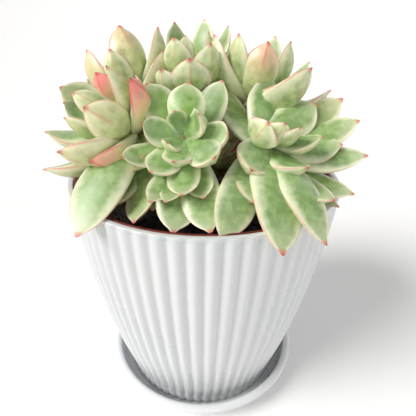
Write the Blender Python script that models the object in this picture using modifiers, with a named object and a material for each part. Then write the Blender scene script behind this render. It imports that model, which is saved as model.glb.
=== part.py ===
"""A potted succulent: a clump of thick-leaved rosettes in a fluted white pot on its saucer.

Metres, +Z up. The origin is the centre of the saucer's flat underside, on the pot's axis.
The front of the plant, where its lowest leaves hang over the rim, faces -Y.
"""

import math

import bmesh
import bpy
from mathutils import Matrix, Vector
from mathutils.bvhtree import BVHTree

MM = 0.001
OBJECT_NAME = "potted_succulent"

# ---- Fits ----
GAP = 0.3 * MM  # left between two pieces that fit or rest in each other
LEAF_GROW = 0.45 * MM  # how far a piece is grown before it trims a leaf beside it

# ---- Saucer ----
SAUCER_MARGIN = 3.7 * MM  # flat floor left round the pot's foot
SAUCER_FLARE = 9.9 * MM  # how far the wall leans out beyond the floor
SAUCER_HEIGHT = 15.3 * MM
SAUCER_FLOOR = 2.7 * MM
SAUCER_LIP = 5.0 * MM
SAUCER_COVE = 2.5 * MM  # round between the floor and the wall, inside
LIP_ROUND = 0.8 * MM
ROUND_STEPS = 48

# ---- Pot ----
POT_HEIGHT = 137.0 * MM
POT_RIM_R = 75.0 * MM
POT_FOOT_R = 50.3 * MM  # where the wall's curve would meet the saucer's floor
POT_BULGE = 0.726  # 0 gives a straight cone; more swells the wall below the rim
POT_WALL = 3.0 * MM
POT_FLOOR = 3.5 * MM
DRAIN_R = 7.0 * MM
FLUTES = 60
STEPS_A_FLUTE = 3
FLUTE_DEPTH = 1.6 * MM
FOOT_FLUTE_DEPTH = 0.8 * MM
RIM_BAND = 5.5 * MM
RIM_ROUND = 1.2 * MM
FLUTE_RUN_IN = 3.5 * MM
FOOT_BAND = 9.0 * MM
WALL_ROWS = 3
FOOT_TUCK = 1.4 * MM  # how little the foot band leans in, against the wall's slope above it
INNER_TURN = 0.45  # share of the height where the inner wall's straight lines meet

# ---- Liner and soil ----
LINER_WALL = 1.4 * MM
LINER_DROP = 0.5 * MM  # liner's top edge below the pot's
SOIL_BELOW_RIM = 10.0 * MM
SOIL_MOUND = 1.5 * MM
SOIL_FLAT = 0.4  # share of the rim's radius over which the soil's top is level

# ---- Plant ----
TRUNK_R = 8.0 * MM
TRUNK_HEIGHT = 14.0 * MM
BRANCH_R = 5.0 * MM
STEM_R = 4.4 * MM
STEM_TIP_R = 3.2 * MM
STEM_LENGTH = 17.0 * MM
STEM_SIDES = 8
LEAF_FOOT_OUT = 0.8 * MM  # a leaf starts this far off its stem's axis
LEAF_FOOT_DOWN = 3.0 * MM  # and this far below its place on the stem, inside the stem
WIDEST_AT = 0.60  # share of a leaf's length
FOOT_WIDTH = 0.45  # share of its full width
KEEL_DEPTH = 0.40  # underside's depth, as a share of width
FACE_DEPTH = 0.14  # upper face's swell, as a share of width
CURL = 0.10  # sag of a leaf's middle below its chord, as a share of length
FOOT_ROUND = 0.08  # share of the length over which the foot rounds off
TIP_SWELL, TIP_POINT = 2.2, 0.75  # how full the leaf stays past its widest, and how blunt its tip
LEAF_AROUND, LEAF_ALONG = 8, 6
SMALL_AROUND, SMALL_ALONG = 6, 5

BLUSH_ROSETTES = ("left", "back_left")

# Each rosette: where its stem's tip is (across, back, above the soil, in mm) and the way it faces.
ROSETTES = {
    "front": ((-10, -40, 42), (-0.10, -0.75, 0.65)),
    "right": ((31, -30, 42), (0.35, -0.50, 0.80)),
    "left": ((-46, -20, 42), (-0.80, -0.20, 0.55)),
    "back_left": ((-40, 6, 52), (-0.25, 0.20, 0.95)),
    "back_mid": ((-8, 8, 60), (-0.05, 0.05, 1.00)),
    "back_right": ((25, 10, 53), (0.20, 0.05, 0.97)),
    "rear_left": ((-34, 36, 40), (-0.50, 0.65, 0.60)),
    "rear_right": ((22, 42, 40), (0.30, 0.75, 0.60)),
}

# Leaves that are pieces of their own. Each says where it points round the rosette (0 right,
# 90 up and back, 180 left, 270 down and front), how far it leans from the way the rosette faces,
# both in degrees, then its length and width in mm, how far down the stem it grows in mm, its
# curl, and its twist about its own length in degrees.
LEAVES = {
    "front": {
        "crown": (82, 64, 21, 17, 0, 0.06, 0),
        "side": (350, 60, 22, 16, 3, CURL, 0),
        "under_mid": (272, 68, 30, 15, 5, CURL, 0),
        "under_right": (288, 74, 30, 14, 8, CURL, 0),
        "up_left": (126, 68, 28, 17, 4, CURL, 0),
        "far_left": (247, 70, 34, 13, 9, CURL, 0),
        "down_left": (265, 78, 42, 21, 12, 0.02, 0),
        "down_right": (286, 74, 45, 19, 12, 0.02, 0),
    },
    "right": {
        "near": (246, 77, 28, 19, 5, 0.04, 0),
        "up_left": (124, 86, 36, 17, 10, 0.06, 0),
        "up_mid": (92, 66, 32, 18, 6, CURL, 0),
        "up_right": (40, 66, 31, 20, 4, CURL, 0),
        "out": (356, 68, 36, 19, 6, CURL, 0),
        "low": (292, 55, 31, 17, 8, CURL, 0),
        "low_out": (304, 69, 44, 20, 10, CURL, 0),
        "far_low": (328, 75, 48, 18, 11, CURL, 0),
        "far_out": (348, 65, 48, 18, 9, CURL, 0),
        "far_up": (12, 60, 47, 18, 9, CURL, 0),
        "far_back": (32, 58, 47, 19, 11, CURL, 0),
        "hanging": (272, 82, 58, 23, 12, -0.09, 0),
        "low_left": (257, 87, 38, 19, 6, CURL, 0),
        "hanging_out": (290, 78, 57, 19, 11, -0.10, 0),
        "hanging_left": (249, 88, 56, 19, 13, -0.04, 0),
    },
    "left": {
        "up": (112, 14, 32, 18, 3, CURL, 0),
        "far": (200, 34, 34, 18, 3, CURL, 0),
        "curled": (304, 46, 29, 18, 4, 0.16, 0),
        "near": (256, 50, 36, 21, 6, CURL, 0),
        "near_pink": (350, 63, 30, 18, 8, CURL, 0),
        "low_out": (222, 52, 42, 18, 7, CURL, 0),
        "low_near": (264, 64, 31, 18, 9, CURL, 0),
        "over_rim": (252, 81, 58, 23, 12, -0.08, -50),
        "down": (266, 98, 49, 16, 13, CURL, -30),
    },
    "back_left": {
        "pink_left": (245, 52, 28, 17, 5, CURL, 0),
        "pink_right": (332, 52, 32, 18, 4, CURL, 0),
        "tall": (300, 14, 34, 19, 1, CURL, 0),
        "out": (212, 28, 33, 18, 4, CURL, 0),
        "tall_right": (345, 37, 37, 16, 2, CURL, 0),
    },
    "back_mid": {
        "front": (272, 58, 31, 20, 5, CURL, 0),
        "front_left": (238, 60, 27, 18, 6, CURL, 0),
        "front_right": (300, 42, 30, 17, 5, CURL, 0),
        "left": (252, 40, 29, 16, 2, CURL, 0),
    },
    "back_right": {
        "up": (204, 45, 38, 20, 3, CURL, 0),
        "pink": (268, 32, 33, 18, 2, CURL, 0),
        "right": (332, 22, 34, 18, 2, CURL, 0),
        "big": (310, 52, 40, 23, 5, CURL, 0),
        "low": (340, 61, 44, 19, 9, CURL, 0),
    },
    "rear_left": {},
    "rear_right": {},
}

# Leaves joined to their rosette's stem as its heart, with the same seven values.
HEARTS = {
    "front": (
        (176, 55, 18, 14, 1, 0.14, 0),
        (238, 64, 24, 15, 3, CURL, 0),
        (262, 54, 18, 14, 2, CURL, 0),
        (315, 58, 23, 16, 2, CURL, 0),
        (20, 30, 15, 12, 0, 0.16, 0),
        (235, 38, 13, 10, 1, 0.16, 0),
        (110, 20, 13, 9, 0, 0.16, 0),
        (258, 70, 32, 12, 9, CURL, 0),
        (245, 80, 34, 12, 14, CURL, 0),
        (208, 60, 30, 13, 7, CURL, 0),
        (60, 82, 33, 16, 9, CURL, 0),
    ),
    "right": (
        (228, 42, 22, 16, 1, 0.14, 0),
        (256, 27, 18, 13, 1, 0.14, 0),
        (292, 30, 20, 12, 1, CURL, 0),
        (330, 46, 25, 13, 3, 0.14, 0),
        (320, 79, 46, 15, 13, CURL, 0),
    ),
    "left": (
        (150, 16, 25, 13, 0, 0.14, 0),
        (320, 20, 25, 12, 1, 0.14, 0),
        (250, 24, 24, 12, 1, 0.14, 0),
        (357, 48, 31, 15, 5, CURL, 0),
        (285, 86, 31, 13, 13, CURL, 0),
        (254, 82, 42, 16, 15, CURL, -40),
        (60, 66, 31, 15, 8, CURL, 0),
    ),
    "back_left": (
        (40, 52, 34, 15, 4, CURL, 0),
        (165, 10, 25, 12, 0, 0.14, 0),
        (265, 34, 28, 14, 2, CURL, 0),
        (75, 40, 36, 15, 5, CURL, 0),
        (150, 50, 36, 15, 7, CURL, 0),
    ),
    "back_mid": (
        (125, 22, 33, 14, 2, CURL, 0),
        (60, 26, 35, 15, 2, CURL, 0),
        (30, 38, 37, 14, 3, CURL, 0),
        (250, 10, 22, 11, 0, 0.14, 0),
        (330, 24, 26, 12, 1, 0.14, 0),
        (115, 48, 34, 16, 6, CURL, 0),
        (70, 52, 34, 16, 8, CURL, 0),
    ),
    "back_right": (
        (300, 55, 27, 17, 5, CURL, 0),
        (226, 36, 34, 14, 1, CURL, 0),
        (60, 22, 36, 15, 2, CURL, 0),
        (120, 38, 34, 15, 5, CURL, 0),
        (15, 45, 40, 15, 5, CURL, 0),
        (226, 70, 30, 16, 13, CURL, 0),
    ),
    "rear_left": (
        (285, 12, 20, 12, 0, 0.14, 0),
        (310, 38, 25, 14, 1, CURL, 0),
        (240, 35, 30, 15, 3, CURL, 0),
        (10, 45, 30, 15, 3, CURL, 0),
        (115, 32, 32, 16, 5, CURL, 0),
        (185, 45, 35, 16, 8, CURL, 0),
        (62, 55, 35, 16, 9, CURL, 0),
    ),
    "rear_right": (
        (260, 12, 20, 12, 0, 0.14, 0),
        (235, 38, 25, 14, 1, CURL, 0),
        (315, 35, 30, 15, 3, CURL, 0),
        (175, 45, 30, 15, 3, CURL, 0),
        (70, 32, 32, 16, 5, CURL, 0),
        (10, 55, 35, 16, 8, CURL, 0),
        (125, 55, 35, 16, 9, CURL, 0),
    ),
}

SAUCER_BASE_R = POT_FOOT_R + SAUCER_MARGIN
SAUCER_R = SAUCER_BASE_R + SAUCER_FLARE
POT_FOOT_Z = SAUCER_FLOOR + GAP
RIM_Z = POT_FOOT_Z + POT_HEIGHT
SOIL_Z = RIM_Z - SOIL_BELOW_RIM

COLOURS = {
    "white_glaze": ((0.86, 0.87, 0.87, 1.0), 0.25),
    "white_saucer": ((0.88, 0.89, 0.90, 1.0), 0.22),
    "terracotta_liner": ((0.30, 0.06, 0.03, 1.0), 0.55),
    "dark_soil": ((0.018, 0.013, 0.010, 1.0), 0.95),
    "woody_stem": ((0.30, 0.24, 0.15, 1.0), 0.80),
    "young_leaf": ((0.42, 0.56, 0.34, 1.0), 0.45),
    "sage_leaf": ((0.40, 0.53, 0.38, 1.0), 0.50),
    "blush_leaf": ((0.62, 0.56, 0.40, 1.0), 0.50),
}


# ---- Scene helpers ----
def new_collection(name):
    found = bpy.data.collections.new(name)
    bpy.context.scene.collection.children.link(found)
    return found


def material(name):
    """One Principled material, from COLOURS."""
    found = bpy.data.materials.get(name)
    if found:
        return found
    colour, roughness = COLOURS[name]
    found = bpy.data.materials.new(name)
    found.use_nodes = True
    shader = found.node_tree.nodes["Principled BSDF"]
    shader.inputs["Base Color"].default_value = colour
    shader.inputs["Roughness"].default_value = roughness
    found.diffuse_color = colour
    return found


def object_from(bm, name, collection):
    """Writes the bmesh to a new smooth-shaded object."""
    for face in bm.faces:
        face.smooth = True
    mesh = bpy.data.meshes.new(name)
    bm.to_mesh(mesh)
    bm.free()
    made = bpy.data.objects.new(name, mesh)
    collection.objects.link(made)
    return made


def finish_piece(piece, material_name):
    """Gives the piece its one material and smooth faces."""
    piece.data.materials.clear()
    piece.data.materials.append(material(material_name))
    for polygon in piece.data.polygons:
        polygon.material_index = 0
        polygon.use_smooth = True


# ---- Turned pieces ----
def turned(name, profile, closed, steps, collection):
    """Turns a profile of (radius, height) about Z with a Screw modifier."""
    bm = bmesh.new()
    verts = [bm.verts.new((radius, 0.0, height)) for radius, height in profile]
    pairs = list(zip(verts, verts[1:]))
    if closed:
        pairs.append((verts[-1], verts[0]))
    for first, second in pairs:
        bm.edges.new((first, second))
    made = object_from(bm, name, collection)
    screw = made.modifiers.new("Turn", "SCREW")
    screw.axis = "Z"
    screw.steps = steps
    screw.render_steps = steps
    screw.use_merge_vertices = True
    screw.merge_threshold = 0.00001
    screw.use_smooth_shade = True
    return made


def wall_radius(height):
    """Pot's outer radius, ridge to ridge, at a height above the table."""
    share = (height - POT_FOOT_Z) / POT_HEIGHT
    return POT_FOOT_R + (POT_RIM_R - POT_FOOT_R) * (share + POT_BULGE * share * (1.0 - share))


def make_saucer(collection):
    lip_in = SAUCER_R - SAUCER_LIP
    lip_mid = SAUCER_R - SAUCER_LIP / 2
    lip_low = SAUCER_HEIGHT - SAUCER_LIP / 2
    profile = [
        (0.0, SAUCER_FLOOR),
        (SAUCER_BASE_R - LIP_ROUND, SAUCER_FLOOR),
        (SAUCER_BASE_R + SAUCER_COVE, SAUCER_FLOOR + SAUCER_COVE),
        (lip_in, lip_low),
        (lip_in + LIP_ROUND, SAUCER_HEIGHT - LIP_ROUND),
        (lip_mid, SAUCER_HEIGHT),
        (SAUCER_R - LIP_ROUND, SAUCER_HEIGHT - LIP_ROUND),
        (SAUCER_R, lip_low),
        (SAUCER_R - LIP_ROUND, SAUCER_HEIGHT - SAUCER_LIP),
        (SAUCER_BASE_R + SAUCER_LIP, SAUCER_LIP / 2),
        (SAUCER_BASE_R, 0.0),
        (0.0, 0.0),
    ]
    return turned("saucer", profile, False, ROUND_STEPS, collection)


def flute_depth(height):
    """How deep the grooves are at a height: none in the rim's band, shallow at the foot."""
    below_band = RIM_Z - RIM_BAND - height
    run_in = min(max(below_band / FLUTE_RUN_IN, 0.0), 1.0)
    if height <= POT_FOOT_Z + FOOT_BAND / 2:
        return FOOT_FLUTE_DEPTH
    return FLUTE_DEPTH * run_in


def inner_turn_height():
    return POT_FOOT_Z + POT_FLOOR + POT_HEIGHT * INNER_TURN


def rim_edge_height():
    """Where the pot's rounded rim meets its inner wall."""
    return RIM_Z - RIM_ROUND / 2


def make_pot(collection):
    """Spins the wall's section about Z, then sinks the grooves between the flutes."""
    low = POT_FOOT_Z + FOOT_BAND
    high = RIM_Z - RIM_BAND - FLUTE_RUN_IN
    rows = [low + (high - low) * row / WALL_ROWS for row in range(WALL_ROWS, -1, -1)]
    outer = [
        (POT_RIM_R - POT_WALL / 2, RIM_Z),
        (POT_RIM_R, RIM_Z - RIM_ROUND),
        (wall_radius(RIM_Z - RIM_BAND), RIM_Z - RIM_BAND),
    ]
    outer += [(wall_radius(height), height) for height in rows]
    outer += [(wall_radius(low) - FOOT_TUCK, POT_FOOT_Z)]
    inner_floor = POT_FOOT_Z + POT_FLOOR
    heights = [inner_floor, inner_turn_height(), rim_edge_height()]
    inner = [(DRAIN_R, POT_FOOT_Z), (DRAIN_R, inner_floor)]
    inner += [(wall_radius(height) - POT_WALL, height) for height in heights]
    bm = bmesh.new()
    verts = [bm.verts.new((radius, 0.0, height)) for radius, height in outer + inner]
    edges = [bm.edges.new(pair) for pair in zip(verts, verts[1:] + verts[:1])]
    bmesh.ops.spin(
        bm,
        geom=verts + edges,
        cent=(0.0, 0.0, 0.0),
        axis=(0.0, 0.0, 1.0),
        angle=math.tau,
        steps=FLUTES * STEPS_A_FLUTE,
        use_merge=True,
    )
    bmesh.ops.remove_doubles(bm, verts=bm.verts, dist=0.001 * MM)
    for vert in bm.verts:
        radius = math.hypot(vert.co.x, vert.co.y)
        on_wall = radius > wall_radius(vert.co.z) - POT_WALL / 4
        if not on_wall or vert.co.z > RIM_Z - RIM_BAND:
            continue
        turn = math.atan2(vert.co.y, vert.co.x)
        sunk = flute_depth(vert.co.z) * (1.0 - abs(math.sin(turn * FLUTES / 2)))
        vert.co.x *= (radius - sunk) / radius
        vert.co.y *= (radius - sunk) / radius
    bmesh.ops.recalc_face_normals(bm, faces=bm.faces)
    return object_from(bm, "pot", collection)


def liner_radius(height):
    """The liner's outer radius, a gap inside the pot's inner wall."""
    return wall_radius(height) - POT_WALL - GAP


def liner_line(height):
    """Outer radius along the liner's wall, straight between the pot's own inner rows."""
    floor = POT_FOOT_Z + POT_FLOOR
    turn = inner_turn_height()
    low, high = (floor, turn) if height <= turn else (turn, rim_edge_height())
    share = (height - low) / (high - low)
    return liner_radius(low) + (liner_radius(high) - liner_radius(low)) * share


def make_liner(collection):
    floor = POT_FOOT_Z + POT_FLOOR + GAP
    outer = [RIM_Z - LINER_DROP, inner_turn_height(), floor]
    inner = [floor + LINER_WALL, inner_turn_height(), RIM_Z - LINER_DROP]
    profile = [(liner_line(height), height) for height in outer]
    profile += [(DRAIN_R, floor), (DRAIN_R, floor + LINER_WALL)]
    profile += [(liner_line(height) - LINER_WALL, height) for height in inner]
    return turned("liner", profile, True, FLUTES, collection)


def make_soil(collection):
    floor = POT_FOOT_Z + POT_FLOOR + LINER_WALL + GAP * 2
    edge_heights = [SOIL_Z - SOIL_MOUND, inner_turn_height(), floor]
    profile = [(0.0, SOIL_Z), (POT_RIM_R * SOIL_FLAT, SOIL_Z)]
    profile += [(liner_line(height) - LINER_WALL - GAP, height) for height in edge_heights]
    profile += [(0.0, floor)]
    return turned("soil", profile, False, FLUTES, collection)


# ---- Plant ----
def rosette_frame(rosette):
    """The stem tip of a rosette and the unit vector it faces along."""
    (across, back, above), facing = ROSETTES[rosette]
    tip = Vector((across * MM, back * MM, SOIL_Z + above * MM))
    return tip, Vector(facing).normalized()


def leaf_frame(rosette, around, lean, twist):
    """The way a leaf points, the way its upper face looks and the way off its stem."""
    facing = rosette_frame(rosette)[1]
    right = (Vector((1.0, 0.0, 0.0)) - facing * facing.x).normalized()
    up = facing.cross(right)
    outward = right * math.cos(math.radians(around)) + up * math.sin(math.radians(around))
    way = facing * math.cos(math.radians(lean)) + outward * math.sin(math.radians(lean))
    face = (facing - way * facing.dot(way)).normalized()
    return way, Matrix.Rotation(math.radians(twist), 3, way) @ face, outward


def width_share(along):
    """A leaf's width at a share of its length: narrow foot, widest past the middle, pointed."""
    if along < WIDEST_AT:
        swell = math.sin(math.pi / 2 * along / WIDEST_AT)
        share = FOOT_WIDTH + (1.0 - FOOT_WIDTH) * swell
        return share * min(1.0, math.sqrt(along / FOOT_ROUND))
    past = (along - WIDEST_AT) / (1.0 - WIDEST_AT)
    return max(0.0, 1.0 - past**TIP_SWELL) ** TIP_POINT


def leaf_bmesh(rosette, values, segments, rings):
    """A sphere drawn out into a keeled leaf, growing from its rosette's stem."""
    around, lean, length, width, down, curl, twist = values
    tip, facing = rosette_frame(rosette)
    way, upward, outward = leaf_frame(rosette, around, lean, twist)
    side = way.cross(upward)
    foot = tip - facing * (down * MM + LEAF_FOOT_DOWN) + outward * LEAF_FOOT_OUT
    bm = bmesh.new()
    bmesh.ops.create_uvsphere(bm, u_segments=segments, v_segments=rings, radius=1.0)
    for vert in bm.verts:
        along = (1.0 - max(-1.0, min(1.0, vert.co.z))) / 2
        ring = math.hypot(vert.co.x, vert.co.y)
        across = vert.co.x / ring if ring > 1e-6 else 0.0
        lift = vert.co.y / ring if ring > 1e-6 else 0.0
        share = width_share(along) if ring > 1e-6 else 0.0
        depth = FACE_DEPTH if lift > 0 else KEEL_DEPTH
        sag = -curl * length * 4 * along * (1.0 - along)
        vert.co = (
            foot
            + way * along * length * MM
            + side * across * share * width / 2 * MM
            + upward * (lift * share * depth * width + sag) * MM
        )
    return bm


def rod(start, end, start_r, end_r, name, collection):
    """A tapering rod between two points."""
    along = end - start
    turned_to = along.to_track_quat("Z", "Y").to_matrix().to_4x4()
    turned_to.translation = (start + end) / 2
    bm = bmesh.new()
    bmesh.ops.create_cone(
        bm,
        cap_ends=True,
        segments=STEM_SIDES,
        radius1=start_r,
        radius2=end_r,
        depth=along.length,
        matrix=turned_to,
    )
    return object_from(bm, name, collection)


def boolean(piece, other, operation):
    """Applies one Boolean to the piece's mesh."""
    modifier = piece.modifiers.new("Cut", "BOOLEAN")
    modifier.operation = operation
    modifier.solver = "EXACT"
    modifier.object = other
    depsgraph = bpy.context.evaluated_depsgraph_get()
    mesh = bpy.data.meshes.new_from_object(piece.evaluated_get(depsgraph))
    piece.modifiers.clear()
    piece.data = mesh


def tree_of(piece):
    bm = bmesh.new()
    bm.from_mesh(piece.data)
    tree = BVHTree.FromBMesh(bm)
    bm.free()
    return tree


def grower(piece, cutters):
    """A grown copy of a simple piece and its tree, for trimming what grows beside it."""
    bm = bmesh.new()
    bm.from_mesh(piece.data)
    bm.normal_update()
    moved = [(vert, vert.normal * LEAF_GROW) for vert in bm.verts]
    for vert, step in moved:
        vert.co += step
    grown = object_from(bm, piece.name + "_grown", cutters)
    return grown, tree_of(grown)


def keep_largest(piece):
    """Drops every loose bit but the largest."""
    bm = bmesh.new()
    bm.from_mesh(piece.data)
    bmesh.ops.remove_doubles(bm, verts=bm.verts, dist=0.002 * MM)
    left = set(bm.verts)
    islands = []
    while left:
        island = set()
        front = [next(iter(left))]
        while front:
            vert = front.pop()
            if vert in island:
                continue
            island.add(vert)
            front.extend(edge.other_vert(vert) for edge in vert.link_edges)
        left -= island
        islands.append(island)
    islands.sort(key=box_size, reverse=True)
    for island in islands[1:]:
        bmesh.ops.delete(bm, geom=list(island), context="VERTS")
    bm.to_mesh(piece.data)
    bm.free()


def box_size(island):
    """The product of the sides of an island's box."""
    spans = [[vert.co[axis] for vert in island] for axis in range(3)]
    return math.prod(max(span) - min(span) for span in spans)


def trim(piece, growers):
    """Trims the piece back from every grown copy it meets, and keeps its main part."""
    for grown, tree in growers:
        if tree_of(piece).overlap(tree):
            boolean(piece, grown, "DIFFERENCE")
    keep_largest(piece)


def make_stems(parts, cutters):
    """The trunk from the soil with a branch to the foot of each rosette's own stem."""
    base = Vector((0.0, 0.0, SOIL_Z + GAP))
    fork = base + Vector((0.0, 0.0, TRUNK_HEIGHT))
    stems = rod(base, fork, TRUNK_R, BRANCH_R, "stems", parts)
    growers = [grower(stems, cutters)]
    for rosette in ROSETTES:
        tip, facing = rosette_frame(rosette)
        foot = tip - facing * STEM_LENGTH
        start = (base + fork) / 2
        branch = rod(start, foot, BRANCH_R, STEM_R, rosette + "_branch", cutters)
        growers.append(grower(branch, cutters))
        boolean(stems, branch, "UNION")
    keep_largest(stems)
    return stems, growers


def make_heart(rosette, parts, cutters):
    """A rosette's own stem with its innermost and smallest leaves."""
    tip, facing = rosette_frame(rosette)
    heart = rod(tip - facing * STEM_LENGTH, tip, STEM_R, STEM_TIP_R, rosette + "_heart", parts)
    growers = [grower(heart, cutters)]
    for number, values in enumerate(HEARTS[rosette]):
        bm = leaf_bmesh(rosette, values, SMALL_AROUND, SMALL_ALONG)
        leaf = object_from(bm, f"{rosette}_heart_leaf_{number}", cutters)
        growers.append(grower(leaf, cutters))
        boolean(heart, leaf, "UNION")
    return heart, growers


def make_clearance(name, profile, closed, cutters):
    """A turned cutter for the space that the pot and soil already fill."""
    made = turned(name, profile, closed, FLUTES, cutters)
    depsgraph = bpy.context.evaluated_depsgraph_get()
    mesh = bpy.data.meshes.new_from_object(made.evaluated_get(depsgraph))
    made.modifiers.clear()
    made.data = mesh
    return made


def make_walls(cutters):
    """What leaves keep clear of: the pot's and liner's rim, and the soil."""
    low = SOIL_Z - SOIL_BELOW_RIM
    rim_out = POT_RIM_R + GAP
    rim_in = POT_RIM_R - POT_WALL - LINER_WALL - GAP * 5
    low_in = wall_radius(low) - POT_WALL - LINER_WALL - GAP * 3
    rim = [(rim_in, RIM_Z + GAP), (rim_out, RIM_Z + GAP), (rim_out, low), (low_in, low)]
    soil = [(0.0, SOIL_Z + GAP), (rim_in, SOIL_Z + GAP), (rim_in, low), (0.0, low)]
    return [
        make_clearance("rim_clearance", rim, True, cutters),
        make_clearance("soil_clearance", soil, False, cutters),
    ]


def main():
    for found in list(bpy.data.objects):
        bpy.data.objects.remove(found, do_unlink=True)
    parts = new_collection(OBJECT_NAME)
    cutters = new_collection("cutters")
    cutters.hide_render = True

    finish_piece(make_saucer(parts), "white_saucer")
    finish_piece(make_pot(parts), "white_glaze")
    finish_piece(make_liner(parts), "terracotta_liner")
    finish_piece(make_soil(parts), "dark_soil")

    walls = make_walls(cutters)
    growers = [(wall, tree_of(wall)) for wall in walls]

    stems, grown = make_stems(parts, cutters)
    growers += grown
    finish_piece(stems, "woody_stem")
    for rosette in ROSETTES:
        heart, grown = make_heart(rosette, parts, cutters)
        trim(heart, growers)
        finish_piece(heart, "young_leaf")
        growers += grown

    for rosette, leaves in LEAVES.items():
        finish = "blush_leaf" if rosette in BLUSH_ROSETTES else "sage_leaf"
        for name, values in leaves.items():
            bm = leaf_bmesh(rosette, values, LEAF_AROUND, LEAF_ALONG)
            leaf = object_from(bm, f"{rosette}_leaf_{name}", parts)
            grown = grower(leaf, cutters)
            trim(leaf, growers)
            finish_piece(leaf, finish)
            growers.append(grown)

    for cutter in cutters.objects:
        cutter.display_type = "WIRE"
        cutter.hide_render = True


main()
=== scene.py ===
"""Looks of a potted succulent: thick pointed leaves in rosettes, in a ribbed white pot on a saucer.

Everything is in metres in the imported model's own frame. Each piece's place is in its mesh.
"""

import math
import random

import bmesh
import bpy
from mathutils import Matrix, Vector, noise


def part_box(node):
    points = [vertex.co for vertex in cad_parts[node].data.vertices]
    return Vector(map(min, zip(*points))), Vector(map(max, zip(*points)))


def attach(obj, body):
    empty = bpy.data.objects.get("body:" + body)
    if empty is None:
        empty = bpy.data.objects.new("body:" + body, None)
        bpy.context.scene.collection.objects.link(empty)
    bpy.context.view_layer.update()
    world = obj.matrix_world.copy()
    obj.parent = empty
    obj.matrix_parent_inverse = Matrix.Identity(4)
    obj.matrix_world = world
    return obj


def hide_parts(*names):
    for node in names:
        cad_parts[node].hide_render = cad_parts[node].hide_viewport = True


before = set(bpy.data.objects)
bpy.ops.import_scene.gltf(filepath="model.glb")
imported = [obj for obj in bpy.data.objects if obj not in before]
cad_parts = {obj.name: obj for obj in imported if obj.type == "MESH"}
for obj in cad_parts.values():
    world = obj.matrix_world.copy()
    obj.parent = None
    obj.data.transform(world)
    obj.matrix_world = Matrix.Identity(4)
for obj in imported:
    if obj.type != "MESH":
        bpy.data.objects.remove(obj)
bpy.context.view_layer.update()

MM = 0.001

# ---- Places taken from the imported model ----
SAUCER_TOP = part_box("saucer")[1].z
SAUCER_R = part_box("saucer")[1].x
POT_FOOT_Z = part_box("pot")[0].z
RIM_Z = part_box("pot")[1].z
POT_RIM_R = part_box("pot")[1].x
LINER_FOOT_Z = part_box("liner")[0].z
LINER_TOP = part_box("liner")[1].z
LINER_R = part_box("liner")[1].x
SOIL_FOOT_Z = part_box("soil")[0].z
SOIL_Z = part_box("soil")[1].z
SOIL_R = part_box("soil")[1].x

# ---- Saucer ----
SAUCER_BASE_R = SAUCER_R - 9.9 * MM
SAUCER_FLOOR = 2.7 * MM
SAUCER_LIP = 5.0 * MM
SAUCER_STEPS = 192
ARC_STEPS = 10

# ---- Pot ----
POT_FOOT_R = 50.3 * MM  # where the wall's curve would meet the saucer's floor
POT_BULGE = 0.726
POT_WALL = 3.0 * MM
POT_FLOOR = 3.5 * MM
DRAIN_R = 7.0 * MM
RIBS = 60
STEPS_A_RIB = 10
GROOVE_DEPTH = 1.8 * MM
LIP_GROOVE = 0.8 * MM  # what is left of the grooves at the lip's own edge
FOOT_GROOVE = 0.8 * MM
GROOVE_ROUND = 0.10  # rounds the bottom of each groove
LIP_ROUND = 0.9 * MM
GROOVE_RUN_IN = 2.0 * MM
FOOT_BAND = 9.0 * MM
FOOT_TUCK = 1.4 * MM
WALL_ROWS = 22
LINER_WALL = 1.4 * MM

# ---- Soil ----
SOIL_RINGS = 36
SOIL_STEPS = 160
CRUMBS = 420
CRUMB_R = (0.5 * MM, 1.5 * MM)
SPECKS = 16

# ---- Plant ----
TRUNK_R = 8.0 * MM
TRUNK_HEIGHT = 14.0 * MM
BRANCH_R = 5.0 * MM
STEM_R = 4.4 * MM
STEM_TIP_R = 3.2 * MM
STEM_LENGTH = 17.0 * MM
LEAF_FOOT_OUT = 0.8 * MM
LEAF_FOOT_DOWN = 3.0 * MM
LEAF_SEGMENTS, LEAF_RINGS = 36, 44
WIDEST_AT = 0.60  # share of a leaf's length
FOOT_WIDTH = 0.50  # share of its full width
FOOT_ROUND = 0.08
TIP_SWELL, TIP_POINT = 2.3, 0.68  # how full a leaf stays past its widest, and how blunt its tip
POINT_FROM, POINT_LENGTH = 0.97, 0.030  # the small sharp point at a leaf's end
KEEL_DEPTH = 0.40  # underside's depth, as a share of width
KEEL_AT_FOOT, KEEL_AT_TIP = 0.10, 0.55  # how much of the underside is a ridge
FACE_SWELL, FACE_HOLLOW = 0.24, 0.04  # upper face at the foot and towards the tip
MARGIN_WAVE = 0.035  # how far a leaf's margin wanders, as a share of its width
CURL = 0.10  # sag of a leaf's middle below its chord, as a share of length

BLUSH_ROSETTES = ("left", "back_left")

# Each rosette: where its stem's tip is (across, back, above the soil, in mm) and the way it faces.
ROSETTES = {
    "front": ((-10, -40, 42), (-0.10, -0.75, 0.65)),
    "right": ((31, -30, 42), (0.35, -0.50, 0.80)),
    "left": ((-46, -20, 42), (-0.80, -0.20, 0.55)),
    "back_left": ((-40, 6, 52), (-0.25, 0.20, 0.95)),
    "back_mid": ((-8, 8, 60), (-0.05, 0.05, 1.00)),
    "back_right": ((25, 10, 53), (0.20, 0.05, 0.97)),
    "rear_left": ((-34, 36, 40), (-0.50, 0.65, 0.60)),
    "rear_right": ((22, 42, 40), (0.30, 0.75, 0.60)),
}

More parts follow.
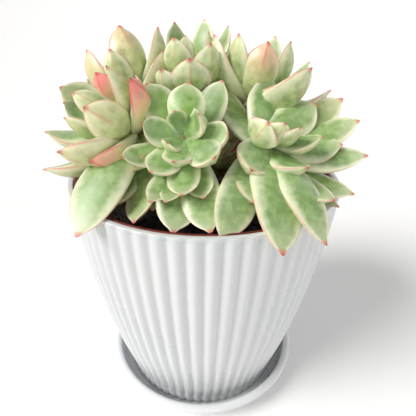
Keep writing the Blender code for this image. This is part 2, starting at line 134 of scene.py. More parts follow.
# Leaves that are pieces of their own. Each says where it points round the rosette (0 right,
# 90 up and back, 180 left, 270 down and front), how far it leans from the way the rosette faces,
# both in degrees, then its length and width in mm, how far down the stem it grows in mm, its
# curl, and its twist about its own length in degrees.
LEAVES = {
    "front": {
        "crown": (82, 64, 21, 17, 0, 0.06, 0),
        "side": (350, 60, 22, 16, 3, CURL, 0),
        "under_mid": (272, 68, 30, 15, 5, CURL, 0),
        "under_right": (288, 74, 30, 14, 8, CURL, 0),
        "up_left": (126, 68, 28, 17, 4, CURL, 0),
        "far_left": (247, 70, 34, 13, 9, CURL, 0),
        "down_left": (265, 78, 42, 21, 12, 0.02, 0),
        "down_right": (286, 74, 45, 19, 12, 0.02, 0),
    },
    "right": {
        "near": (246, 77, 28, 19, 5, 0.04, 0),
        "up_left": (124, 86, 36, 17, 10, 0.06, 0),
        "up_mid": (92, 66, 32, 18, 6, CURL, 0),
        "up_right": (40, 66, 31, 20, 4, CURL, 0),
        "out": (356, 68, 36, 19, 6, CURL, 0),
        "low": (292, 55, 31, 17, 8, CURL, 0),
        "low_out": (304, 69, 44, 20, 10, CURL, 0),
        "far_low": (328, 75, 48, 18, 11, CURL, 0),
        "far_out": (348, 65, 48, 18, 9, CURL, 0),
        "far_up": (12, 60, 47, 18, 9, CURL, 0),
        "far_back": (32, 58, 47, 19, 11, CURL, 0),
        "hanging": (272, 82, 58, 23, 12, -0.09, 0),
        "low_left": (257, 87, 38, 19, 6, CURL, 0),
        "hanging_out": (290, 78, 57, 19, 11, -0.10, 0),
        "hanging_left": (249, 88, 56, 19, 13, -0.04, 0),
    },
    "left": {
        "up": (112, 14, 32, 18, 3, CURL, 0),
        "far": (200, 34, 34, 18, 3, CURL, 0),
        "curled": (304, 46, 29, 18, 4, 0.16, 0),
        "near": (256, 50, 36, 21, 6, CURL, 0),
        "near_pink": (350, 63, 30, 18, 8, CURL, 0),
        "low_out": (222, 52, 42, 18, 7, CURL, 0),
        "low_near": (264, 64, 31, 18, 9, CURL, 0),
        "over_rim": (252, 81, 58, 23, 12, -0.08, -50),
        "down": (266, 98, 49, 16, 13, CURL, -30),
    },
    "back_left": {
        "pink_left": (245, 52, 28, 17, 5, CURL, 0),
        "pink_right": (332, 52, 32, 18, 4, CURL, 0),
        "tall": (300, 14, 34, 19, 1, CURL, 0),
        "out": (212, 28, 33, 18, 4, CURL, 0),
        "tall_right": (345, 37, 37, 16, 2, CURL, 0),
    },
    "back_mid": {
        "front": (272, 58, 31, 20, 5, CURL, 0),
        "front_left": (238, 60, 27, 18, 6, CURL, 0),
        "front_right": (300, 42, 30, 17, 5, CURL, 0),
        "left": (252, 40, 29, 16, 2, CURL, 0),
    },
    "back_right": {
        "up": (204, 45, 38, 20, 3, CURL, 0),
        "pink": (268, 32, 33, 18, 2, CURL, 0),
        "right": (332, 22, 34, 18, 2, CURL, 0),
        "big": (310, 52, 40, 23, 5, CURL, 0),
        "low": (340, 61, 44, 19, 9, CURL, 0),
    },
    "rear_left": {},
    "rear_right": {},
}

# Leaves joined to their rosette's stem as its heart, with the same seven values.
HEARTS = {
    "front": (
        (176, 55, 18, 14, 1, 0.14, 0),
        (238, 64, 24, 15, 3, CURL, 0),
        (262, 54, 18, 14, 2, CURL, 0),
        (315, 58, 23, 16, 2, CURL, 0),
        (20, 30, 15, 12, 0, 0.16, 0),
        (235, 38, 13, 10, 1, 0.16, 0),
        (110, 20, 13, 9, 0, 0.16, 0),
        (258, 70, 32, 12, 9, CURL, 0),
        (245, 80, 34, 12, 14, CURL, 0),
        (208, 60, 30, 13, 7, CURL, 0),
        (60, 82, 33, 16, 9, CURL, 0),
    ),
    "right": (
        (228, 42, 22, 16, 1, 0.14, 0),
        (256, 27, 18, 13, 1, 0.14, 0),
        (292, 30, 20, 12, 1, CURL, 0),
        (330, 46, 25, 13, 3, 0.14, 0),
        (320, 79, 46, 15, 13, CURL, 0),
    ),
    "left": (
        (150, 16, 25, 13, 0, 0.14, 0),
        (320, 20, 25, 12, 1, 0.14, 0),
        (250, 24, 24, 12, 1, 0.14, 0),
        (357, 48, 31, 15, 5, CURL, 0),
        (285, 86, 31, 13, 13, CURL, 0),
        (254, 82, 42, 16, 15, CURL, -40),
        (60, 66, 31, 15, 8, CURL, 0),
    ),
    "back_left": (
        (40, 52, 34, 15, 4, CURL, 0),
        (165, 10, 25, 12, 0, 0.14, 0),
        (265, 34, 28, 14, 2, CURL, 0),
        (75, 40, 36, 15, 5, CURL, 0),
        (150, 50, 36, 15, 7, CURL, 0),
    ),
    "back_mid": (
        (125, 22, 33, 14, 2, CURL, 0),
        (60, 26, 35, 15, 2, CURL, 0),
        (30, 38, 37, 14, 3, CURL, 0),
        (250, 10, 22, 11, 0, 0.14, 0),
        (330, 24, 26, 12, 1, 0.14, 0),
        (115, 48, 34, 16, 6, CURL, 0),
        (70, 52, 34, 16, 8, CURL, 0),
    ),
    "back_right": (
        (300, 55, 27, 17, 5, CURL, 0),
        (226, 36, 34, 14, 1, CURL, 0),
        (60, 22, 36, 15, 2, CURL, 0),
        (120, 38, 34, 15, 5, CURL, 0),
        (15, 45, 40, 15, 5, CURL, 0),
        (226, 70, 30, 16, 13, CURL, 0),
    ),
    "rear_left": (
        (285, 12, 20, 12, 0, 0.14, 0),
        (310, 38, 25, 14, 1, CURL, 0),
        (240, 35, 30, 15, 3, CURL, 0),
        (10, 45, 30, 15, 3, CURL, 0),
        (115, 32, 32, 16, 5, CURL, 0),
        (185, 45, 35, 16, 8, CURL, 0),
        (62, 55, 35, 16, 9, CURL, 0),
    ),
    "rear_right": (
        (260, 12, 20, 12, 0, 0.14, 0),
        (235, 38, 25, 14, 1, CURL, 0),
        (315, 35, 30, 15, 3, CURL, 0),
        (175, 45, 30, 15, 3, CURL, 0),
        (70, 32, 32, 16, 5, CURL, 0),
        (10, 55, 35, 16, 8, CURL, 0),
        (125, 55, 35, 16, 9, CURL, 0),
    ),
}

# How much pink and how much fresh green each rosette's leaves carry, from 0 to 1.
ROSETTE_LOOKS = {
    "front": (0.10, 0.35),
    "right": (0.18, 0.25),
    "left": (0.32, 0.35),
    "back_left": (0.26, 0.45),
    "back_mid": (0.12, 0.80),
    "back_right": (0.22, 0.65),
    "rear_left": (0.30, 0.40),
    "rear_right": (0.25, 0.45),
}

# Leaves that differ from their rosette's others, in the same two values.
LEAF_LOOKS = {
    ("front", "crown"): (0.12, 0.95),
    ("front", "up_left"): (0.10, 0.80),
    ("front", "side"): (0.20, 0.45),
    ("front", "far_left"): (0.35, 0.10),
    ("right", "near"): (0.30, 0.10),
    ("right", "up_left"): (0.60, 0.30),
    ("right", "up_right"): (0.35, 0.30),
    ("right", "far_up"): (0.40, 0.30),
    ("right", "far_back"): (0.62, 0.30),
    ("left", "up"): (0.48, 0.35),
    ("left", "near_pink"): (0.95, 0.40),
    ("left", "low_near"): (0.75, 0.30),
    ("left", "over_rim"): (0.12, 0.40),
    ("left", "down"): (0.35, 0.25),
    ("back_left", "pink_left"): (1.00, 0.20),
    ("back_left", "out"): (0.50, 0.40),
    ("back_left", "tall"): (0.50, 0.40),
    ("back_right", "pink"): (0.68, 0.45),
}


# ---- Materials ----
def shown(red, green, blue):
    """A colour from its everyday 0 to 255 values, as the light values a shader takes."""
    return (*((part / 255) ** 2.2 for part in (red, green, blue)), 1.0)


class Nodes:
    """Short ways to add and join the nodes of one material."""

    def __init__(self, name, roughness, slot_colour):
        self.material = bpy.data.materials.new(name)
        self.material.use_nodes = True
        self.material.diffuse_color = slot_colour
        self.tree = self.material.node_tree
        self.shader = self.tree.nodes["Principled BSDF"]
        self.shader.inputs["Roughness"].default_value = roughness

    def put(self, socket, value):
        if isinstance(value, bpy.types.NodeSocket):
            self.tree.links.new(value, socket)
        else:
            socket.default_value = value

    def attribute(self, name):
        node = self.tree.nodes.new("ShaderNodeAttribute")
        node.attribute_name = name
        return node.outputs["Fac"]

    def place(self):
        return self.tree.nodes.new("ShaderNodeTexCoord").outputs["Object"]

    def noise(self, scale, detail=2.0, stretch=None):
        """Noise on Object coordinates, from 0 to 1. Scale is in features a metre."""
        place = self.place()
        if stretch:
            mapping = self.tree.nodes.new("ShaderNodeMapping")
            mapping.inputs["Scale"].default_value = stretch
            self.put(mapping.inputs["Vector"], place)
            place = mapping.outputs["Vector"]
        node = self.tree.nodes.new("ShaderNodeTexNoise")
        node.inputs["Scale"].default_value = scale
        node.inputs["Detail"].default_value = detail
        self.put(node.inputs["Vector"], place)
        return node.outputs["Fac"]

    def math(self, operation, *values):
        node = self.tree.nodes.new("ShaderNodeMath")
        node.operation = operation
        for socket, value in zip(node.inputs, values):
            self.put(socket, value)
        return node.outputs[0]

    def rise(self, value, low, high, bottom=0.0, top=1.0):
        """Smooth step from bottom to top as the value goes from low to high."""
        node = self.tree.nodes.new("ShaderNodeMapRange")
        node.interpolation_type = "SMOOTHSTEP"
        self.put(node.inputs["Value"], value)
        for name, number in (("From Min", low), ("From Max", high), ("To Min", bottom), ("To Max", top)):
            node.inputs[name].default_value = number
        return node.outputs["Result"]

    def mix(self, share, first, second):
        node = self.tree.nodes.new("ShaderNodeMix")
        node.data_type = "RGBA"
        self.put(node.inputs["Factor"], share)
        self.put(node.inputs[6], first)  # the colour pair of its several input pairs
        self.put(node.inputs[7], second)
        return node.outputs[2]

    def bump(self, height, strength, distance):
        node = self.tree.nodes.new("ShaderNodeBump")
        node.inputs["Strength"].default_value = strength
        node.inputs["Distance"].default_value = distance
        self.put(node.inputs["Height"], height)
        self.tree.links.new(node.outputs["Normal"], self.shader.inputs["Normal"])

    def finish(self, colour, **sockets):
        """Joins the colour and sets the shader's other sockets by their names."""
        self.put(self.shader.inputs["Base Color"], colour)
        for name, value in sockets.items():
            self.put(self.shader.inputs[name.replace("_", " ")], value)
        return self.material


SAGE = shown(120, 152, 92)
SAGE_PALE = shown(154, 182, 122)
SAGE_FLECK = shown(98, 132, 74)
FRESH = shown(122, 164, 60)
CREAM = shown(242, 242, 212)
UNDER_PALE = shown(210, 222, 164)
BLOOM = shown(208, 220, 200)
STRAW = shown(246, 238, 180)
PINK = shown(244, 132, 130)
ROSE = shown(214, 60, 84)
CRIMSON = shown(150, 26, 44)


def leaf_material(name, straw, pink):
    """Mottled green with cream margins, a pink blush and a crimson point."""
    nodes = Nodes(name, 0.42, SAGE_PALE)
    along = nodes.attribute("along")
    across = nodes.math("ABSOLUTE", nodes.attribute("across"))
    under = nodes.attribute("under")
    blush = nodes.attribute("blush")
    fresh = nodes.attribute("fresh")
    mottle = nodes.noise(260.0, 5.0)
    fleck = nodes.noise(1300.0, 3.0)
    patches = nodes.noise(70.0, 2.0)

    green = nodes.mix(nodes.rise(mottle, 0.38, 0.66), SAGE, SAGE_PALE)
    green = nodes.mix(nodes.rise(fleck, 0.52, 0.72, 0.0, 0.38), green, SAGE_FLECK)
    fresh_share = nodes.math("MULTIPLY", fresh, nodes.rise(along, 0.0, 0.9, 0.95, 0.45))
    green = nodes.mix(fresh_share, green, FRESH)
    pale_share = nodes.math("MULTIPLY", under, nodes.rise(mottle, 0.3, 0.7, 0.20, 0.70))
    body = nodes.mix(pale_share, green, UNDER_PALE)
    wander = nodes.math("MULTIPLY_ADD", mottle, 0.22, -0.11)
    edge = nodes.math("ADD", across, wander)
    body = nodes.mix(nodes.rise(edge, 0.50, 1.0, 0.0, 0.80), body, CREAM)
    body = nodes.mix(nodes.rise(along, 0.75, 1.0, 0.0, 0.35), body, CREAM)
    body = nodes.mix(nodes.rise(patches, 0.45, 0.85, 0.0, 0.30), body, BLOOM)

    blush_under = nodes.math("MULTIPLY", blush, nodes.rise(under, 0.0, 1.0, 0.25, 1.0))
    straw_share = nodes.math("MULTIPLY", blush_under, nodes.rise(along, 0.0, 0.45, 0.1, straw))
    body = nodes.mix(straw_share, body, STRAW)
    reach = nodes.math("ADD", along, wander)
    strong = nodes.math("MULTIPLY", blush_under, nodes.rise(blush, 0.20, 0.90, 0.15, 1.0))
    pink_share = nodes.math("MULTIPLY", strong, nodes.rise(reach, 0.50, 1.0, 0.0, pink))
    body = nodes.mix(pink_share, body, PINK)

    line_strength = nodes.math("MULTIPLY_ADD", blush, 0.55, 0.42)
    far = nodes.rise(along, 0.45, 0.95)
    rim_line = nodes.math("MULTIPLY", nodes.rise(across, 0.935, 0.99), far)
    keel_line = nodes.math("MULTIPLY", nodes.rise(across, 0.02, 0.16, 1.0, 0.0), under)
    keel_line = nodes.math("MULTIPLY", keel_line, nodes.rise(along, 0.65, 0.97, 0.0, 0.7))
    lines = nodes.math("MAXIMUM", rim_line, keel_line)
    body = nodes.mix(nodes.math("MULTIPLY", lines, line_strength), body, ROSE)
    body = nodes.mix(nodes.rise(along, 0.975, 0.998, 0.0, 0.75), body, ROSE)
    body = nodes.mix(nodes.rise(along, 0.993, 1.0), body, CRIMSON)

    grain = nodes.math("MULTIPLY_ADD", nodes.noise(2600.0, 2.0), 0.5, mottle)
    nodes.bump(grain, 0.10, 0.4 * MM)
    shader = nodes.shader
    shader.inputs["Subsurface Weight"].default_value = 0.22
    shader.inputs["Subsurface Radius"].default_value = (1.0, 0.85, 0.35)
    shader.inputs["Subsurface Scale"].default_value = 2.5 * MM
    shader.inputs["Coat Weight"].default_value = 0.30
    shader.inputs["Coat Roughness"].default_value = 0.26
    return nodes.finish(body, Roughness=nodes.rise(mottle, 0.3, 0.7, 0.30, 0.46))


def glaze_material(name, white, grime):
    """Glossy white with the faintest grey patches, and dust gathered low down."""
    nodes = Nodes(name, 0.24, shown(240, 241, 242))
    patches = nodes.noise(18.0, 0.0)
    body = nodes.mix(patches, shown(white, white + 3, white + 7), shown(white + 8, white + 9, white + 9))
    dust = nodes.rise(nodes.noise(900.0, 4.0), 0.62, 0.78, 0.0, grime)
    height = nodes.tree.nodes.new("ShaderNodeSeparateXYZ")
    nodes.put(height.inputs["Vector"], nodes.place())
    low = nodes.rise(height.outputs["Z"], 2.0 * MM, 22.0 * MM, 1.0, 0.03)
    body = nodes.mix(nodes.math("MULTIPLY", dust, low), body, shown(120, 104, 86))
    nodes.shader.inputs["Coat Weight"].default_value = 0.35
    nodes.shader.inputs["Coat Roughness"].default_value = 0.12
    return nodes.finish(body, Roughness=nodes.rise(patches, 0.0, 1.0, 0.22, 0.34))


def rough_material(name, dark, light, scale, bump_distance, roughness):
    """A dull two-tone finish with a rough surface, for the liner, the soil and the stems."""
    nodes = Nodes(name, roughness, light)
    coarse = nodes.noise(scale, 6.0)
    body = nodes.mix(nodes.rise(coarse, 0.35, 0.65), dark, light)
    nodes.bump(nodes.noise(scale * 2.5, 6.0), 0.6, bump_distance)
    return nodes.finish(body, Roughness=nodes.rise(coarse, 0.3, 0.7, roughness, roughness + 0.08))


def water_material():
    nodes = Nodes("water", 0.02, (1.0, 1.0, 1.0, 1.0))
    nodes.shader.inputs["Transmission Weight"].default_value = 1.0
    nodes.shader.inputs["IOR"].default_value = 1.15
    nodes.shader.inputs["Coat Weight"].default_value = 1.0
    nodes.shader.inputs["Coat Roughness"].default_value = 0.02
    return nodes.finish((1.0, 1.0, 1.0, 1.0))


MATERIALS = {
    # The pot's white (207) is set darker than the saucer's (219): painted shade standing in for the
    # shade on the pot's ribs
    "white_glaze": glaze_material("white_glaze", 207, 0.5),
    "white_saucer": glaze_material("white_saucer", 219, 0.35),
    "terracotta_liner": rough_material(
        "terracotta_liner", shown(92, 30, 22), shown(128, 46, 32), 300.0, 0.2 * MM, 0.60
    ),
    "dark_soil": rough_material(
        "dark_soil", shown(20, 16, 13), shown(52, 42, 34), 420.0, 0.8 * MM, 0.90
    ),
    "woody_stem": rough_material(
        "woody_stem", shown(104, 96, 60), shown(150, 146, 98), 260.0, 0.5 * MM, 0.70
    ),
    "young_leaf": leaf_material("young_leaf", 0.5, 0.8),
    "sage_leaf": leaf_material("sage_leaf", 0.4, 0.8),
    "blush_leaf": leaf_material("blush_leaf", 0.85, 0.95),
    "water": water_material(),
}

# ---- Pieces ----
def smooth_step(value, low, high):
    share = min(max((value - low) / (high - low), 0.0), 1.0)
    return share * share * (3.0 - 2.0 * share)


def add_piece(bm, name, slot, nodes, smooth=True):
    """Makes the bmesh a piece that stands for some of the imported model's nodes."""
    for face in bm.faces:
        face.smooth = smooth
    mesh = bpy.data.meshes.new(name)
    bm.to_mesh(mesh)
    bm.free()
    piece = bpy.data.objects.new(name, mesh)
    bpy.context.scene.collection.objects.link(piece)
    mesh.materials.append(MATERIALS[slot or "water"])
    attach(piece, "root")
    if nodes:
        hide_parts(*nodes)
    return piece


def arc(centre, radius, start, end, steps):
    """Points of (radius, height) along an arc, its angles in degrees from outward to up."""
    made = []
    for step in range(steps + 1):
        angle = math.radians(start + (end - start) * step / steps)
        made.append((centre[0] + radius * math.cos(angle), centre[1] + radius * math.sin(angle)))
    return made


def spun(profile, closed, steps):
    """A profile of (radius, height) spun about Z and closed up."""
    bm = bmesh.new()
    verts = [bm.verts.new((radius, 0.0, height)) for radius, height in profile]
    pairs = list(zip(verts, verts[1:]))
    if closed:
        pairs.append((verts[-1], verts[0]))
    edges = [bm.edges.new(pair) for pair in pairs]
    bmesh.ops.spin(
        bm,
        geom=verts + edges,
        cent=(0.0, 0.0, 0.0),
        axis=(0.0, 0.0, 1.0),
        angle=math.tau,
        steps=steps,
        use_merge=True,
    )
    bmesh.ops.remove_doubles(bm, verts=bm.verts, dist=0.002 * MM)
    bmesh.ops.recalc_face_normals(bm, faces=bm.faces)
    return bm


def make_saucer():
    """A shallow dish with a round cove inside and a thick rolled lip."""
    lip = SAUCER_LIP / 2
    lip_centre = (SAUCER_R - lip, SAUCER_TOP - lip)
    cove = 4.0 * MM
    cove_centre = (SAUCER_BASE_R - 0.5 * MM, SAUCER_FLOOR + cove)
    foot_round = 1.5 * MM
    foot_centre = (SAUCER_BASE_R, foot_round)
    profile = [(0.0, SAUCER_FLOOR), (SAUCER_BASE_R * 0.5, SAUCER_FLOOR)]
    profile += arc(cove_centre, cove, -90.0, -20.0, ARC_STEPS)
    profile += arc(lip_centre, lip, 195.0, -60.0, ARC_STEPS * 2)
    profile += arc(foot_centre, foot_round, -10.0, -90.0, ARC_STEPS)
    profile += [(SAUCER_BASE_R * 0.9, 0.4 * MM), (0.0, 0.4 * MM)]
    add_piece(spun(profile, False, SAUCER_STEPS), "saucer_dish", "white_saucer", ["saucer"])


def wall_radius(height):
    """Pot's outer radius over the ribs at a height above the table."""
    share = (height - POT_FOOT_Z) / (RIM_Z - POT_FOOT_Z)
    return POT_FOOT_R + (POT_RIM_R - POT_FOOT_R) * (share + POT_BULGE * share * (1.0 - share))


def groove_depth(height):
    """Depth of the grooves between the ribs: shallow at the lip and in the foot's band."""
    below_lip = smooth_step(RIM_Z - LIP_ROUND - height, 0.0, GROOVE_RUN_IN)
    depth = LIP_GROOVE + (GROOVE_DEPTH - LIP_GROOVE) * below_lip
    above_foot = smooth_step(height - POT_FOOT_Z, FOOT_BAND * 0.7, FOOT_BAND * 1.4)
    return FOOT_GROOVE + (depth - FOOT_GROOVE) * above_foot


def rib_share(turn):
    """0 on a rib's crest and 1 at the bottom of the narrow groove beside it."""
    wave = math.hypot(math.sin(turn * RIBS / 2), GROOVE_ROUND)
    return 1.0 - (wave - GROOVE_ROUND) / (math.hypot(1.0, GROOVE_ROUND) - GROOVE_ROUND)


def make_pot():
    """The wall's section spun about Z, then pressed in between the ribs."""
    low = POT_FOOT_Z + FOOT_BAND
    high = RIM_Z - LIP_ROUND
    outer = arc((POT_RIM_R - LIP_ROUND, high), LIP_ROUND, 90.0, 0.0, 4)
    for below in (0.5, 1.0, 1.6, 2.2, 3.0):
        outer.append((wall_radius(high - below * MM), high - below * MM))
    top_row = outer[-1][1]
    for row in range(1, WALL_ROWS + 1):
        height = top_row + (low - top_row) * row / WALL_ROWS
        outer.append((wall_radius(height), height))
    foot_r = wall_radius(low) - FOOT_TUCK
    for share in (0.12, 0.3, 0.6, 0.9):
        outer.append((wall_radius(low) - FOOT_TUCK * share, low - FOOT_BAND * share))
    outer += arc((foot_r - LIP_ROUND, POT_FOOT_Z + LIP_ROUND), LIP_ROUND, 0.0, -90.0, 4)
    floor = POT_FOOT_Z + POT_FLOOR
    inner = [(DRAIN_R, POT_FOOT_Z), (DRAIN_R, floor)]
    inner += [(wall_radius(floor) - POT_WALL, floor)]
    for share in (0.15, 0.3, 0.5, 0.7, 0.85):
        height = floor + (high - floor) * share
        inner.append((wall_radius(height) - POT_WALL, height))
    inner += arc((POT_RIM_R - POT_WALL + LIP_ROUND, high), LIP_ROUND, 180.0, 90.0, 4)
    bm = spun(outer + inner, True, RIBS * STEPS_A_RIB)
    for vert in bm.verts:
        radius = math.hypot(vert.co.x, vert.co.y)
        if radius < wall_radius(vert.co.z) - POT_WALL / 2 or vert.co.z > RIM_Z - LIP_ROUND / 2:
            continue
        sunk = groove_depth(vert.co.z) * rib_share(math.atan2(vert.co.y, vert.co.x))
        vert.co.x *= (radius - sunk) / radius
        vert.co.y *= (radius - sunk) / radius
    bmesh.ops.recalc_face_normals(bm, faces=bm.faces)
    add_piece(bm, "ribbed_pot", "white_glaze", ["pot"])


def make_liner():
    """The dark red-brown inner layer, seen as a line inside the lip."""
    floor = LINER_FOOT_Z
    outer = LINER_R - wall_radius(LINER_TOP)
    rows = [LINER_TOP + (floor - LINER_TOP) * row / 8 for row in range(9)]
    profile = [(wall_radius(height) + outer, height) for height in rows]
    profile += [(DRAIN_R, floor), (DRAIN_R, floor + LINER_WALL)]
    inner_rows = [max(height, floor + LINER_WALL) for height in reversed(rows)]
    profile += [(wall_radius(height) + outer - LINER_WALL, height) for height in inner_rows]
    add_piece(spun(profile, True, SAUCER_STEPS), "pot_liner", "terracotta_liner", ["liner"])


def make_soil():
    """Lumpy dark soil with loose crumbs pressed into its top."""
    rng = random.Random(4)
    edge = SOIL_Z - 1.5 * MM
    profile = []
    for ring in range(SOIL_RINGS + 1):
        share = ring / SOIL_RINGS
        profile.append((SOIL_R * share, SOIL_Z + (edge - SOIL_Z) * share**3))
    for share in (0.2, 0.5, 0.8, 1.0):
        height = edge + (SOIL_FOOT_Z - edge) * share
        profile.append((SOIL_R - wall_radius(edge) + wall_radius(height), height))
    profile.append((0.0, SOIL_FOOT_Z))
    bm = spun(profile, False, SOIL_STEPS)
    for vert in bm.verts:
        if vert.co.z > edge - 0.5 * MM:
            lump = noise.fractal(vert.co * 160.0, 0.7, 2.1, 4)
            vert.co.z += lump * 1.3 * MM - 0.6 * MM
    for _ in range(CRUMBS):
        out = SOIL_R * 0.97 * math.sqrt(rng.random())
        turn = rng.uniform(0.0, math.tau)
        size = rng.uniform(*CRUMB_R)
        place = Vector((out * math.cos(turn), out * math.sin(turn), SOIL_Z - 0.6 * MM))
        add_crumb(bm, place, size, rng)
    add_piece(bm, "soil_bed", "dark_soil", ["soil"], smooth=False)


def add_crumb(bm, place, size, rng):
    """One lump with uneven sides."""
    made = bmesh.ops.create_icosphere(bm, subdivisions=1, radius=size)
    squash = [rng.uniform(0.6, 1.0) for _ in range(3)]
    for vert in made["verts"]:
        shift = 1.0 + rng.uniform(-0.18, 0.18)
        vert.co = place + Vector(part * share for part, share in zip(vert.co, squash)) * shift


def make_specks():
    """A few crumbs of soil spilt on the saucer's floor and behind its lip."""
    rng = random.Random(9)
    bm = bmesh.new()
    for number in range(SPECKS):
        turn = math.radians(rng.uniform(270.0, 330.0))
        out = POT_FOOT_R + rng.uniform(3.2, 5.4) * MM
        size = rng.uniform(0.25, 0.55) * MM
        lift = SAUCER_FLOOR + size * 0.6 + max(out - SAUCER_BASE_R, 0.0) * 0.3
        add_crumb(bm, Vector((out * math.cos(turn), out * math.sin(turn), lift)), size, rng)
    add_piece(bm, "spilt_specks", "dark_soil", [], smooth=False)


# ---- Plant ----
def rosette_frame(rosette):
    """The stem tip of a rosette and the unit vector it faces along."""
    (across, back, above), facing = ROSETTES[rosette]
    tip = Vector((across * MM, back * MM, SOIL_Z + above * MM))
    return tip, Vector(facing).normalized()


def leaf_frame(rosette, around, lean, twist):
    """The way a leaf points, the way its upper face looks and the way off its stem."""
    facing = rosette_frame(rosette)[1]
    right = (Vector((1.0, 0.0, 0.0)) - facing * facing.x).normalized()
    up = facing.cross(right)
    outward = right * math.cos(math.radians(around)) + up * math.sin(math.radians(around))
    way = facing * math.cos(math.radians(lean)) + outward * math.sin(math.radians(lean))
    face = (facing - way * facing.dot(way)).normalized()
    return way, Matrix.Rotation(math.radians(twist), 3, way) @ face, outward


def width_share(along):
    """A leaf's width at a share of its length: narrow foot, widest past the middle."""
    if along < WIDEST_AT:
        swell = math.sin(math.pi / 2 * along / WIDEST_AT)
        share = FOOT_WIDTH + (1.0 - FOOT_WIDTH) * swell
        return share * min(1.0, math.sqrt(max(along, 0.0) / FOOT_ROUND))
    past = min((along - WIDEST_AT) / (1.0 - WIDEST_AT), 1.0)
    return max(0.0, 1.0 - past**TIP_SWELL) ** TIP_POINT


def leaf_axes(rosette, values):
    """Where a leaf's foot is, and the way it points, its side and the way it looks."""
    around, lean, length, width, down, curl, twist = values
    tip, facing = rosette_frame(rosette)
    way, upward, outward = leaf_frame(rosette, around, lean, twist)
    foot = tip - facing * (down * MM + LEAF_FOOT_DOWN) + outward * LEAF_FOOT_OUT
    return foot, way, way.cross(upward), upward


def leaf_place(axes, values, along, turn):
    """A point on a leaf: a share of its length, and the angle round its section."""
    foot, way, side, upward = axes
    around, lean, length, width, down, curl, twist = values
    across, lift = math.cos(turn), math.sin(turn)
    share = width_share(along)
    wave = noise.noise(Vector((along * 3.0, around * 0.37, lean * 0.21 + math.copysign(2.0, across))))
    reach = across * share * (1.0 + wave * MARGIN_WAVE * 2)
    if lift > 0.0:
        face = FACE_SWELL + (FACE_HOLLOW - FACE_SWELL) * smooth_step(along, 0.25, 0.9)
        depth = face * lift**1.4
    else:
        keel = KEEL_AT_FOOT + (KEEL_AT_TIP - KEEL_AT_FOOT) * smooth_step(along, 0.2, 0.95)
        depth = -KEEL_DEPTH * ((1.0 - keel) * abs(lift) ** 1.1 + keel * (1.0 - abs(across)))
    sag = -curl * length * 4 * along * (1.0 - along)
    reach_along = along + POINT_LENGTH * smooth_step(along, POINT_FROM, 1.0) ** 2
    return (
        foot
        + way * reach_along * length * MM
        + side * reach * width / 2 * MM
        + upward * (share * depth * width + sag) * MM
    )


def add_leaf(bm, layers, rosette, values, looks):
    """A sphere drawn out into a keeled, pointed leaf, marked for its material."""
    axes = leaf_axes(rosette, values)
    made = bmesh.ops.create_uvsphere(
        bm, u_segments=LEAF_SEGMENTS, v_segments=LEAF_RINGS, radius=1.0
    )
    for vert in made["verts"]:
        along = (1.0 - max(-1.0, min(1.0, vert.co.z))) / 2
        ring = math.hypot(vert.co.x, vert.co.y)
        turn = math.atan2(vert.co.y, vert.co.x) if ring > 1e-6 else math.pi / 2
        vert[layers["along"]] = along
        vert[layers["across"]] = math.cos(turn)
        vert[layers["under"]] = smooth_step(-math.sin(turn), -0.15, 0.45)
        vert[layers["blush"]] = looks[0]
        vert[layers["fresh"]] = looks[1]
        vert.co = leaf_place(axes, values, along if ring > 1e-6 else round(along), turn)


def leaf_bmesh():
    """An empty bmesh with the marks that the leaf materials read."""
    bm = bmesh.new()
    marks = ("along", "across", "under", "blush", "fresh")
    return bm, {mark: bm.verts.layers.float.new(mark) for mark in marks}


def make_leaves():
    for rosette, leaves in LEAVES.items():
        slot = "blush_leaf" if rosette in BLUSH_ROSETTES else "sage_leaf"
        for name, values in leaves.items():
            bm, layers = leaf_bmesh()
            looks = LEAF_LOOKS.get((rosette, name), ROSETTE_LOOKS[rosette])
            add_leaf(bm, layers, rosette, values, looks)
            add_piece(bm, f"{rosette}_{name}", slot, [f"{rosette}_leaf_{name}"])


def make_hearts():
    for rosette, leaves in HEARTS.items():
        bm, layers = leaf_bmesh()
        for values in leaves:
            add_leaf(bm, layers, rosette, values, ROSETTE_LOOKS[rosette])
        add_piece(bm, f"{rosette}_young_leaves", "young_leaf", [f"{rosette}_heart"])


def add_rod(bm, start, end, start_r, end_r):
    """A tapering rod between two points, with rings so that it can be roughened."""
    along = end - start
    turned_to = along.to_track_quat("Z", "Y").to_matrix().to_4x4()
    turned_to.translation = (start + end) / 2
    made = bmesh.ops.create_cone(
        bm,
        cap_ends=True,
        segments=20,
        radius1=start_r,
        radius2=end_r,
        depth=along.length,
        matrix=turned_to,
    )
    sides = {edge for vert in made["verts"] for edge in vert.link_edges}
    long_edges = [edge for edge in sides if edge.calc_length() > along.length * 0.9]
    bmesh.ops.subdivide_edges(bm, edges=long_edges, cuts=10, use_grid_fill=False)


def make_stems():
    """Trunk, branches and the rosettes' own stems, their surfaces roughened with noise."""
    bm = bmesh.new()
    base = Vector((0.0, 0.0, SOIL_Z))
    fork = base + Vector((0.0, 0.0, TRUNK_HEIGHT))
    add_rod(bm, base, fork, TRUNK_R, BRANCH_R)
    for rosette in ROSETTES:
        tip, facing = rosette_frame(rosette)
        foot = tip - facing * STEM_LENGTH
        add_rod(bm, (base + fork) / 2, foot, BRANCH_R, STEM_R)
        add_rod(bm, foot, tip - facing * 2 * MM, STEM_R, STEM_TIP_R)
    for vert in bm.verts:
        vert.co += Vector(noise.noise_vector(vert.co * 300.0)) * 0.35 * MM
    bmesh.ops.recalc_face_normals(bm, faces=bm.faces)
    add_piece(bm, "stem_wood", "woody_stem", ["stems"])


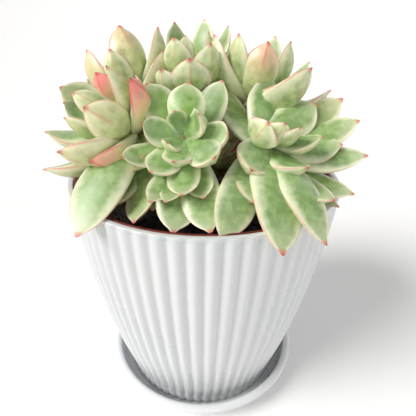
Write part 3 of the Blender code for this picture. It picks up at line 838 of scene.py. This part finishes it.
# Where drops of water sit: rosette, leaf, share of its length, angle round it, and radius in mm.
DROPS = (
    ("left", "near", 0.45, -70, 1.5),
    ("left", "near", 0.62, -110, 0.9),
    ("left", "near_pink", 0.85, -60, 1.3),
    ("back_left", "tall", 0.70, -60, 1.4),
    ("back_left", "tall", 0.52, -75, 0.9),
    ("back_left", "pink_right", 0.60, -80, 0.8),
    ("front", "crown", 0.70, 80, 0.8),
    ("front", "side", 0.60, 100, 0.7),
    ("front", "down_right", 0.70, 70, 0.9),
    ("right", "near", 0.55, 100, 0.9),
    ("right", "hanging", 0.60, 80, 1.0),
    ("right", "out", 0.60, 90, 0.8),
)


def make_drops():
    """Flattened drops, each half sunk in the leaf that it sits on."""
    bm = bmesh.new()
    for rosette, name, along, turn, size in DROPS:
        values = LEAVES[rosette][name]
        axes = leaf_axes(rosette, values)
        turn = math.radians(turn)
        place = leaf_place(axes, values, along, turn)
        on = leaf_place(axes, values, along + 0.02, turn) - place
        beside = leaf_place(axes, values, along, turn + 0.1) - place
        out = beside.cross(on).normalized()
        if out.dot(place - leaf_place(axes, values, along, turn + math.pi)) < 0.0:
            out.negate()
        matrix = Matrix.Translation(place + out * size * 0.15 * MM)
        matrix @= out.to_track_quat("Z", "Y").to_matrix().to_4x4()
        matrix @= Matrix.Diagonal((1.0, 1.0, 0.55, 1.0))
        bmesh.ops.create_uvsphere(
            bm, u_segments=16, v_segments=10, radius=size * MM, matrix=matrix
        )
    add_piece(bm, "water_drops", None, [])


# ---- Floor, light and camera ----
CAMERA_PLACE = (-0.0003, -0.1844, 0.2100)
CAMERA_PITCH, CAMERA_YAW, CAMERA_ROLL = 0.476, 0.014, 0.018  # radians
CAMERA_LENS, SENSOR_WIDTH = 29.2, 36.0
SWEEP_SIZE, SWEEP_FROM, SWEEP_RISE, SWEEP_TOP = 5.0, 1.2, 0.16, 2.2  # the floor curves up all round


def make_camera():
    """Looks down at the front of the plant from close by."""
    data = bpy.data.cameras.new("camera")
    data.sensor_width = SENSOR_WIDTH
    data.lens = CAMERA_LENS
    data.clip_start = 0.01
    camera = bpy.data.objects.new("camera", data)
    bpy.context.scene.collection.objects.link(camera)
    level = math.cos(CAMERA_PITCH)
    forward = Vector(
        (math.sin(CAMERA_YAW) * level, math.cos(CAMERA_YAW) * level, -math.sin(CAMERA_PITCH))
    )
    right = Vector((math.cos(CAMERA_YAW), -math.sin(CAMERA_YAW), 0.0))
    up = right.cross(forward)
    right, up = (
        right * math.cos(CAMERA_ROLL) + up * math.sin(CAMERA_ROLL),
        up * math.cos(CAMERA_ROLL) - right * math.sin(CAMERA_ROLL),
    )
    matrix = Matrix((right, up, -forward)).transposed().to_4x4()
    matrix.translation = CAMERA_PLACE
    camera.matrix_world = matrix
    bpy.context.scene.camera = camera


KEY_FROM = (-0.95, -0.46, 0.85)
KEY_STRENGTH, KEY_SOFTNESS = 2.8, 0.50  # watts a square metre, and radians across
SKY_STRENGTH = 0.44


def make_stage():
    """A pale floor sweeping up all round, a soft key light from the upper left and a white sky."""
    bm = bmesh.new()
    bmesh.ops.create_grid(bm, x_segments=80, y_segments=80, size=SWEEP_SIZE)
    for vert in bm.verts:
        beyond = max(math.hypot(vert.co.x, vert.co.y) - SWEEP_FROM, 0.0)
        vert.co.z = SWEEP_RISE * beyond**2 - 0.2 * MM
        vert.co.z = min(vert.co.z, SWEEP_TOP)
    mesh = bpy.data.meshes.new("floor")
    bm.to_mesh(mesh)
    bm.free()
    floor = bpy.data.objects.new("floor", mesh)
    bpy.context.scene.collection.objects.link(floor)
    nodes = Nodes("floor", 0.9, shown(250, 250, 250))
    mesh.materials.append(nodes.finish(shown(250, 250, 250)))
    sun = bpy.data.lights.new("key", "SUN")
    sun.energy = KEY_STRENGTH
    sun.angle = KEY_SOFTNESS
    sun.color = (1.0, 0.985, 0.95)
    key = bpy.data.objects.new("key", sun)
    key.rotation_euler = (-Vector(KEY_FROM)).to_track_quat("-Z", "Y").to_euler()
    bpy.context.scene.collection.objects.link(key)
    world = bpy.data.worlds.new("studio")
    world.use_nodes = True
    background = world.node_tree.nodes["Background"]
    background.inputs["Color"].default_value = (1.0, 1.0, 1.0, 1.0)
    background.inputs["Strength"].default_value = SKY_STRENGTH
    bpy.context.scene.world = world
    bpy.context.scene.view_settings.view_transform = "Standard"


make_saucer()
make_pot()
make_liner()
make_soil()
make_specks()
make_stems()
make_hearts()
make_leaves()
make_drops()
make_stage()
make_camera()
